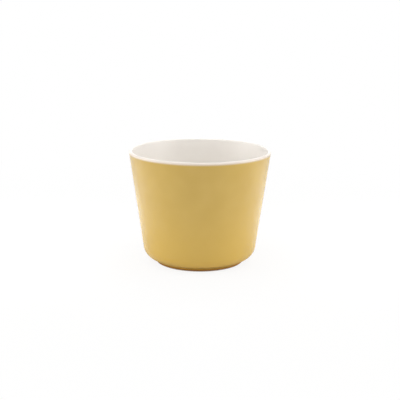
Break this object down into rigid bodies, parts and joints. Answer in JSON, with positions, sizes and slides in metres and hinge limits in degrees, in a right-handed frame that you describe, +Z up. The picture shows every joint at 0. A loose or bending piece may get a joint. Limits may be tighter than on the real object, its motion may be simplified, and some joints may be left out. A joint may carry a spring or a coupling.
{
  "type": "latte bowl",
  "caption": "Handleless conical porcelain bowl for milk coffee, yellow outside and white inside and over the lip, with a rounded heel and a low foot ring.",
  "frame": {"origin": "middle of the foot ring, on the surface that the bowl stands on", "axes": "+Z up along the axis that the bowl is turned about; X and Y may point anywhere, because the bowl is round"},
  "size_m": [0.096, 0.096, 0.077],
  "materials": {
    "bare_porcelain": "unglazed fired porcelain, smoothed and matt",
    "white_glaze": "warm white glaze with a soft silky sheen",
    "yellow_glaze": "mustard yellow satin gloss glaze",
    "clear_glaze": "thin clear gloss glaze over white porcelain"
  },
  "bodies": {
    "root": {"porcelain_body": "bare_porcelain", "white_lining_glaze": "white_glaze", "yellow_outer_glaze": "yellow_glaze", "clear_base_glaze": "clear_glaze"}
  },
  "joints": []
}
